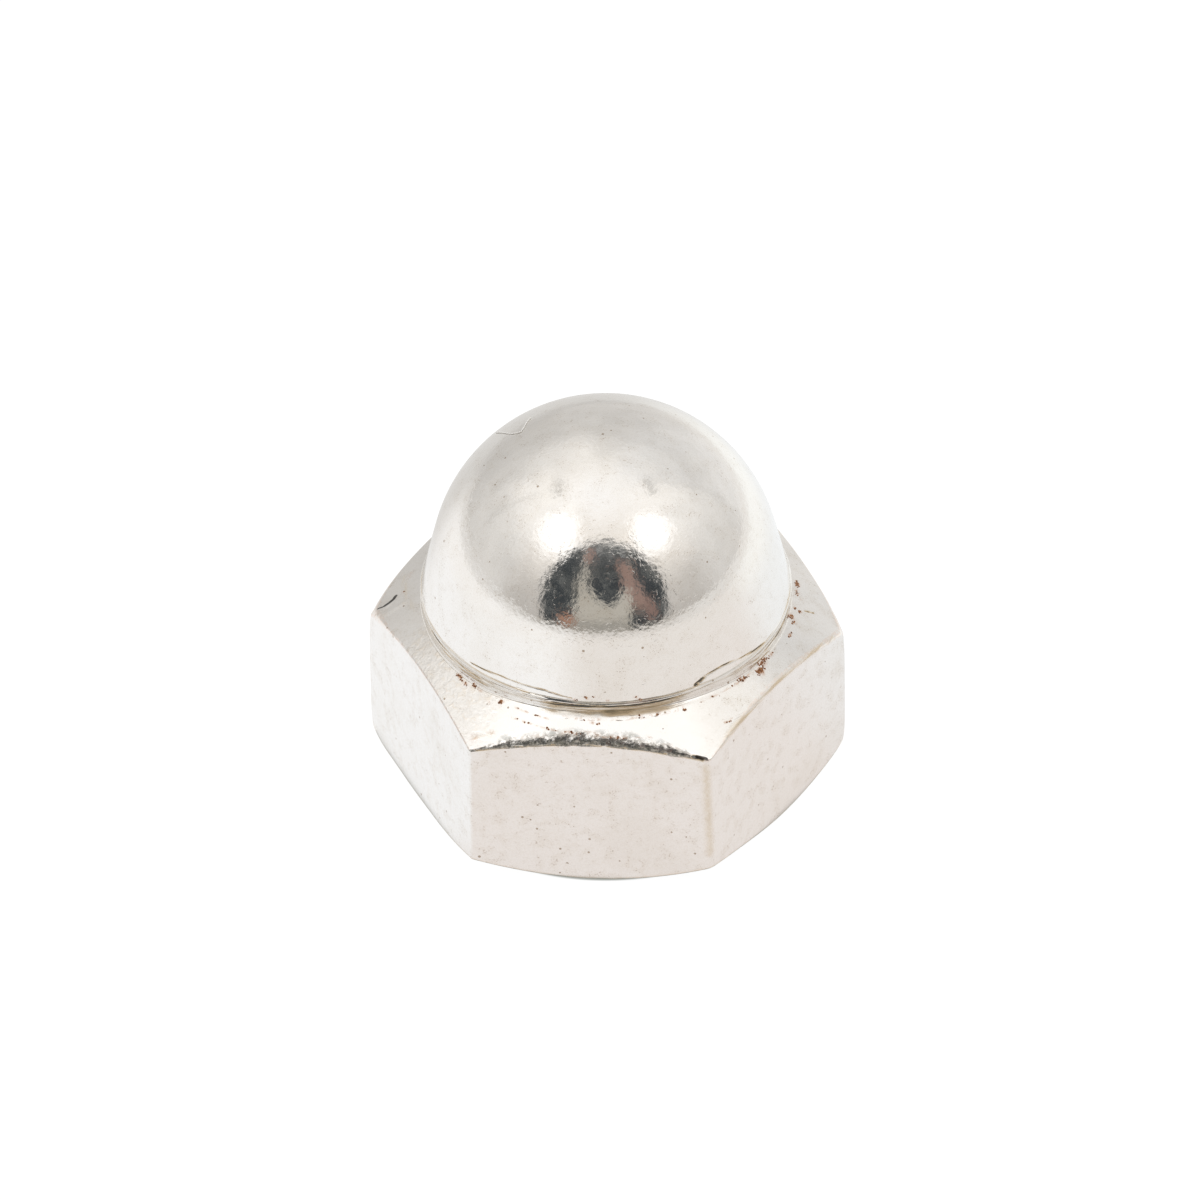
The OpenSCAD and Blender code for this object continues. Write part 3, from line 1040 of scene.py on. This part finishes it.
# rust is scattered over the nut in scabs where it has started
rust = {
    "places": [     # (heading, radius, height), size, amount
        ((61.4, 5.82, 6.14), 0.13, 1.0), ((58.6, 5.95, 6.06), 0.11, 1.0), ((59.2, 6.08, 5.99), 0.06, 1.0),
        ((51.5, 5.82, 6.15), 0.08, 0.9), ((53.2, 5.84, 6.13), 0.05, 0.8), ((70.9, 5.74, 6.88), 0.04, 0.7),
        ((101.2, 6.02, 6.02), 0.08, 1.0), ((97.3, 5.98, 6.04), 0.07, 0.9), ((85.2, 5.88, 6.11), 0.08, 1.0),
        ((88.9, 6.10, 5.98), 0.06, 0.8), ((83.4, 5.99, 6.04), 0.07, 0.8), ((77.8, 6.00, 6.03), 0.05, 0.7),
        ((89.5, 5.93, 6.07), 0.05, 0.8), ((95.0, 6.10, 5.98), 0.04, 0.6), ((-46.3, 5.88, 6.10), 0.06, 0.8),
        ((-42.6, 5.94, 6.07), 0.07, 0.8), ((-40.3, 5.85, 6.12), 0.07, 0.8),
        ((-37.3, 5.87, 6.11), 0.06, 0.7), ((-28.9, 5.91, 6.09), 0.07, 1.0),
        ((-32.2, 6.07, 5.99), 0.04, 0.7), ((-30.6, 7.10, 5.40), 0.12, 0.30),
        ((-27.0, 6.80, 5.57), 0.10, 0.28), ((-92.0, 6.40, 5.80), 0.06, 0.35),
        ((-99.0, 6.35, 5.83), 0.09, 0.35), ((-4.9, 5.77, 6.79), 0.045, 0.8),
        ((-1.2, 5.74, 6.89), 0.04, 0.8), ((-5.8, 5.80, 6.66), 0.04, 0.7), ((1.0, 5.73, 6.93), 0.035, 0.7),
        ((14.1, 5.75, 6.87), 0.045, 0.8), ((15.3, 5.77, 6.76), 0.045, 0.8),
        ((5.2, 5.76, 6.82), 0.035, 0.8), ((0.6, 5.94, 6.07), 0.05, 0.5), ((2.4, 5.96, 6.05), 0.035, 0.8),
        ((15.1, 5.85, 6.12), 0.05, 0.7), ((2.0, 6.29, 5.87), 0.10, 0.28), ((29.0, 5.90, 6.10), 0.05, 0.6),
        ((66.0, 5.86, 6.11), 0.05, 0.6),
    ],
    "traces": [     # path, width, amount
        ([(-23.5, 6.19, 5.92), (-13, 6.25, 5.89), (-2, 6.28, 5.87), (8.5, 6.39, 5.81), (17, 6.44, 5.78)],
         0.030, 0.55),
        ([(-10, 5.86, 6.11), (3, 5.86, 6.11), (16, 5.86, 6.11), (29, 5.86, 6.11)], 0.035, 0.40),
        ([(34, 5.84, 6.13), (50, 5.84, 6.13), (66, 5.84, 6.13)], 0.030, 0.50),
        ([(38.1, 6.64, 5.67), (42.8, 6.63, 5.67)], 0.030, 0.60),
        ([(-24, 5.90, 6.09), (-12, 5.98, 6.04)], 0.030, 0.40),
    ],
    "perArea": 1250,        # scabs on a square millimetre at the worst place
    "least": 0.32,          # no scab where there is less rust than this
    "size": 0.033,
    "smallest": (0.5, 0.5, 0.2),    # times the size
    "largest": (1.4, 1.2, 0.45),
    "lumpScale": 30000,
    "lumpDepth": 0.034,
    "seed": 7,
    "tones": [(0.30, (0.13, 0.050, 0.022)), (0.50, (0.31, 0.130, 0.055)), (0.70, (0.56, 0.29, 0.13))],
    "roughness": 0.8,
}


def scabTree():
    tree, given = makeGroup("scatterScabs", {"Density": "Float", "Scab Size": "Float", "Seed": "Int",
                                             "Finish": "Material"})
    amount = makeNode(tree, "GeometryNodeInputNamedAttribute", {"Name": "rust"}, data_type="FLOAT")[0]
    density = given["Density"] * amount ** 1.6
    density = density * calc("GREATER_THAN", amount, rust["least"])
    spread = makeNode(tree, "GeometryNodeDistributePointsOnFaces",
                      {"Mesh": given["Geometry"], "Density": density, "Seed": given["Seed"]})
    scab = makeNode(tree, "GeometryNodeMeshUVSphere",
                    {"Segments": 7, "Rings": 4, "Radius": given["Scab Size"]})
    size = makeNode(tree, "FunctionNodeRandomValue", {"Seed": given["Seed"], "Min": rust["smallest"],
                                                      "Max": rust["largest"]}, data_type="FLOAT_VECTOR")
    spun = makeNode(tree, "FunctionNodeRandomValue", {"Seed": given["Seed"], 3: 2 * math.pi},
                    data_type="FLOAT")
    turned = makeNode(tree, "FunctionNodeRotateEuler", {"Rotation": spread["Rotation"], "Angle": spun[1]},
                      rotation_type="AXIS_ANGLE", space="LOCAL")
    copies = makeNode(tree, "GeometryNodeInstanceOnPoints",
                      {"Points": spread["Points"], "Instance": scab["Mesh"],
                       "Rotation": turned[0], "Scale": size[0]})
    whole = makeNode(tree, "GeometryNodeRealizeInstances", {0: copies[0]})
    # each scab is made lumpy by where it sits
    lumps = noiseAt(makeNode(tree, "GeometryNodeInputPosition")[0], rust["lumpScale"], 2, "Color")
    shift = makeNode(tree, "ShaderNodeVectorMath", {0: lumps, 1: (0.5, 0.5, 0.5)}, operation="SUBTRACT")
    push = makeNode(tree, "ShaderNodeVectorMath", {0: shift[0], "Scale": rust["lumpDepth"] * mm},
                    operation="SCALE")
    lumpy = makeNode(tree, "GeometryNodeSetPosition", {"Geometry": whole[0], "Offset": push[0]})
    coated = makeNode(tree, "GeometryNodeSetMaterial", {"Geometry": lumpy[0], "Material": given["Finish"]})
    makeNode(tree, "NodeGroupOutput", {0: coated[0]})
    return tree


def makeScabs(capNut, finish):
    source = addObject("scabSource", capNut.data.copy())
    values = {"Density": rust["perArea"] / mm ** 2, "Scab Size": rust["size"] * mm, "Seed": rust["seed"],
              "Finish": finish}
    piece = applyTree(source, scabTree(), values, "rustScabs")
    bpy.data.objects.remove(source)
    print("rust:", len(piece.data.polygons), "faces")
    return piece


# a stray fibre on the dome
fibre = {
    # heading and radius
    "path": [(-118.2, 4.02), (-113.2, 3.58), (-108.4, 3.18), (-106.8, 2.95), (-107.0, 2.77), (-111.8, 2.76),
             (-117.3, 2.82), (-123.5, 2.88)],
    "thickness": 0.034,
    "lift": 0.003,
    "steps": 8,
    "tones": ((1.0, 0.995, 0.98), (0.95, 0.94, 0.92)),
    "roughness": 0.4,
}


def makeFibre(finish):
    # lies along the crown, and stands off it a little in waves
    crown = nut["crownRadius"]
    centre = Vector((0, 0, nut["overall"] - crown)) * mm
    curve = bpy.data.curves.new("strayFibre", "CURVE")
    curve.dimensions = "3D"
    curve.bevel_depth = fibre["thickness"] / 2 * mm
    curve.bevel_resolution = 2
    curve.use_fill_caps = True
    places = [Vector((heading, radius, 0)) for heading, radius in fibre["path"]]
    places = [places[0], *places, places[-1]]
    points = []
    for before, first, last, after in zip(places, places[1:], places[2:], places[3:]):
        for i in range(fibre["steps"]):
            t = i / fibre["steps"]
            bend = first * 2 + (last - before) * t + (before * 2 - first * 5 + last * 4 - after) * t ** 2
            bend = (bend + (first * 3 - before - last * 3 + after) * t ** 3) / 2
            height = nut["overall"] - crown + math.sqrt(crown ** 2 - bend.y ** 2)
            on = Vector(onNut((bend.x, bend.y, height)))
            lift = fibre["thickness"] / 2 + fibre["lift"] * (1 + noise.noise(bend * 0.7))
            points.append(on + (on - centre).normalized() * lift * mm)
    spline = curve.splines.new("POLY")
    spline.points.add(len(points) - 1)
    for point, place in zip(spline.points, points):
        point.co = (*place, 1)
    holder = addObject("fibreCurve", curve)
    mesh = meshOf(holder)
    bpy.data.objects.remove(holder)
    shaped = bmesh.new()
    shaped.from_mesh(mesh)
    bmesh.ops.remove_doubles(shaped, verts=shaped.verts, dist=0.0002 * mm)
    shaped.to_mesh(mesh)
    shaped.free()
    mesh.shade_smooth()
    mesh.materials.clear()
    mesh.materials.append(finish)
    return addObject("strayFibre", mesh)


# the finish of the nut, and below it those of the rust and the fibre
plating = {
    "tint": (0.87, 0.855, 0.835),
    "dulled": (0.835, 0.81, 0.775),
    "mottled": (0.74, 0.69, 0.62),
    "bare": (0.985, 0.975, 0.955),  # bright and clean, on the front of the shoulder
    "worn": (0.84, 0.70, 0.62),     # the layer under the nickel, on the edges
    "battered": (0.30, 0.31, 0.29),
    "stain": (0.55, 0.27, 0.12),
    "speck": (0.34, 0.25, 0.17),
    "dirt": [(0.0, (0.84, 0.79, 0.71)), (0.25, (0.77, 0.68, 0.55)), (0.48, (0.70, 0.54, 0.34)),
             (0.70, (0.33, 0.25, 0.13)), (0.92, (0.055, 0.050, 0.040))],
    "golden": (0.80, 0.66, 0.48),
    "black": (0.035, 0.032, 0.030),
    "peelScale": 6500,
    # depths in millimetres
    "peelDepth": 0.0054,
    "rippleDepth": 0.0040,
    "streakDepth": 0.0010,
    "scuffDepth": 0.024,
    "hammerDepth": 0.024,
    "dimpleDepth": 0.0016,
    "pitDepth": -0.004,
    "dirtDepth": 0.009,
    "cellScale": 4300,      # of the pattern whose cells hold the small pits
    "cellPit": 0.2,
    # heading, radius, height and size of the pits that stand alone
    "pits": ((-0.3, 6.50, 1.75, 0.060), (37.0, 7.06, 4.60, 0.040), (-14.8, 6.72, 1.49, 0.026),
             (6.4, 6.54, 2.58, 0.022), (-58.9, 3.47, 11.57, 0.034), (62.4, 5.40, 8.34, 0.030),
             (-21.9, 3.04, 11.89, 0.028), (91.1, 2.56, 12.17, 0.030), (4.5, 5.68, 7.11, 0.030)),
}


def objectPlace(tree):
    return makeNode(tree, "ShaderNodeTexCoord")["Object"]


def makePits(place, fine, mottle, dome):
    # some cells of a fine pattern hold a dark point each, and a few larger ones stand alone
    tree = place.tree
    cells = makeNode(tree, "ShaderNodeTexVoronoi", {"Vector": place, "Scale": plating["cellScale"]})
    chosen = makeNode(tree, "ShaderNodeSeparateColor", {0: cells["Color"]})
    pit = calc("LESS_THAN", cells["Distance"], chosen[1] ** 3 * plating["cellPit"])
    pit = pit * calc("GREATER_THAN", chosen[0] + mottle * 0.6, dome * 0.1 + 1.02)
    for heading, radius, height, width in plating["pits"]:
        away = makeNode(tree, "ShaderNodeVectorMath", {0: place, 1: onNut((heading, radius, height))},
                        operation="DISTANCE")["Value"]
        ragged = (fine + 0.5) * (width * mm)
        pit = calc("MAXIMUM", pit, fade(away, ragged, ragged * 0.3))
    return pit


def makePlating():
    material, tree = newMaterial("brightPlating")
    place = objectPlace(tree)

    def attribute(title):
        return makeNode(tree, "ShaderNodeAttribute", attribute_name=title)["Fac"]

    def cloud(scale, detail, stretch=None, distortion=0.0):
        where = place
        if stretch:
            where = makeNode(tree, "ShaderNodeMapping", {"Vector": place, "Scale": stretch})[0]
        return noiseAt(where, scale, detail, distortion=distortion)

    grime, wear, stain = attribute("grime"), attribute("wear"), attribute("rust")
    flats, scuff, dome, battered = (attribute(title) for title in ("flats", "scuff", "dome", "battered"))
    broad, mottle, fine = cloud(420, 5), cloud(2300, 4), cloud(9000, 3)
    swirl = cloud(3900, 4, distortion=1.1)
    pit = makePits(place, fine, mottle, dome)
    gouge = fade(fine * 0.3 + attribute("gouge"), 0.45, 0.75)
    seep = calc("MULTIPLY", stain * fade(fine, 0.38, 0.58), 1.3, clamp=True)
    # dirt, and the shade painted into creases and under the foot, lies in streaks along the turn of the nut,
    # from a thin film to a dark crust
    streaks = cloud(15000, 3, (0.04, 0.04, 1)) * 0.7 + cloud(5000, 3, (0.12, 0.12, 1)) * 0.3
    pattern = fade(streaks, 0.42, 0.58) * (1.0 - flats)
    dirt = grime * (0.5 + pattern * 0.95 + fine * flats * 0.7)
    covered = fade(dirt, 0.03, 0.34) * 0.92

    # one layer over the other: how much of it, and its colour
    layers = (
        (fade(broad, 0.44, 0.66) * 0.6, plating["dulled"]),
        (fade(mottle, 0.47, 0.7) * (0.3 - dome * 0.14), plating["mottled"]),
        (fade(cloud(15000, 2), 0.4, 0.7) * 0.22, plating["mottled"]),
        (fade(cloud(21000, 2), 0.58, 0.72) * fade(mottle, 0.46, 0.64) * 0.55, plating["speck"]),
        (attribute("burnish") * 0.8, plating["bare"]),
        (wear * fade(fine, 0.38, 0.6) * 0.5, plating["worn"]),
        (pit * 0.78, plating["speck"]),
        (covered, ramp(dirt, plating["dirt"])),
        (battered * (fade(fine, 0.38, 0.56) * 0.8), plating["battered"]),
        (scuff * (fade(swirl, 0.52, 0.66) * 0.22), plating["golden"]),
        (gouge * 0.9, plating["black"]),
        (seep, plating["stain"]),
    )
    tone = plating["tint"]
    for amount, colour in layers:
        tone = blend(amount, tone, colour)
    metallic = (1.0 - fade(dirt, 0.15, 0.6) * 0.85) * (1.0 - seep * 0.6)
    metallic = calc("MAXIMUM", metallic, gouge)
    rough = attribute("roughness") + fade(broad, 0.5, 0.7) * 0.05 + covered * 0.25 + scuff * 0.06
    rough = calc("ADD", rough, battered * 0.04, clamp=True)

    relief = cloud(plating["peelScale"], 3) * (0.45 + dome * 0.55) * (plating["peelDepth"] * mm)
    for height, depth in (
            (cloud(1500, 2), "rippleDepth"),
            (cloud(5200, 2, (1, 1, 0.1)) * flats, "streakDepth"),
            ((swirl + fine * 0.5) * scuff, "scuffDepth"),
            (cloud(7200, 4) * battered, "hammerDepth"),
            (fade(cloud(5200, 3, distortion=1.2), 0.6, 0.71) * dome, "dimpleDepth"),
            (calc("MAXIMUM", pit, gouge), "pitDepth"),
            (pattern * covered, "dirtDepth")):
        relief = height * (plating[depth] * mm) + relief
    bump = makeNode(tree, "ShaderNodeBump", {"Height": relief, "Strength": 1.0, "Distance": 1.0})
    metal = makeNode(tree, "ShaderNodeBsdfPrincipled", {"Base Color": tone, "Roughness": rough,
                                                        "Metallic": metallic, "Normal": bump[0]})
    makeNode(tree, "ShaderNodeOutputMaterial", {"Surface": metal[0]})
    return material


def makeRustFinish():
    material, tree = newMaterial("rust")
    mottle = noiseAt(objectPlace(tree), 14000, 3)
    tone = ramp(mottle, rust["tones"])
    bump = makeNode(tree, "ShaderNodeBump", {"Height": mottle, "Strength": 0.6, "Distance": 0.01 * mm})
    crust = makeNode(tree, "ShaderNodeBsdfPrincipled", {"Base Color": tone, "Normal": bump[0],
                                                        "Roughness": rust["roughness"]})
    makeNode(tree, "ShaderNodeOutputMaterial", {"Surface": crust[0]})
    return material


def makeFibreFinish():
    material, tree = newMaterial("paleFibre")
    mottle = noiseAt(objectPlace(tree), 3000, 2)
    tone = blend(mottle, *fibre["tones"])
    bump = makeNode(tree, "ShaderNodeBump", {"Height": mottle, "Strength": 0.3, "Distance": 0.004 * mm})
    thread = makeNode(tree, "ShaderNodeBsdfPrincipled", {"Base Color": tone, "Normal": bump[0],
                                                         "Roughness": fibre["roughness"]})
    makeNode(tree, "ShaderNodeOutputMaterial", {"Surface": thread[0]})
    return material


# the studio first, then the nut and what lies on it
makeCamera()
makeWorld()
makeFloor()
print("studio: done")
capNut = makeNut(makePlating())
markNut(capNut)
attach(capNut, "root")
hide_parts("cap_nut")
scabs = makeScabs(capNut, makeRustFinish())
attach(scabs, "root")
strayFibre = makeFibre(makeFibreFinish())
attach(strayFibre, "root")
print("nut: placed")

bpy.context.scene.view_settings.view_transform = "Standard"
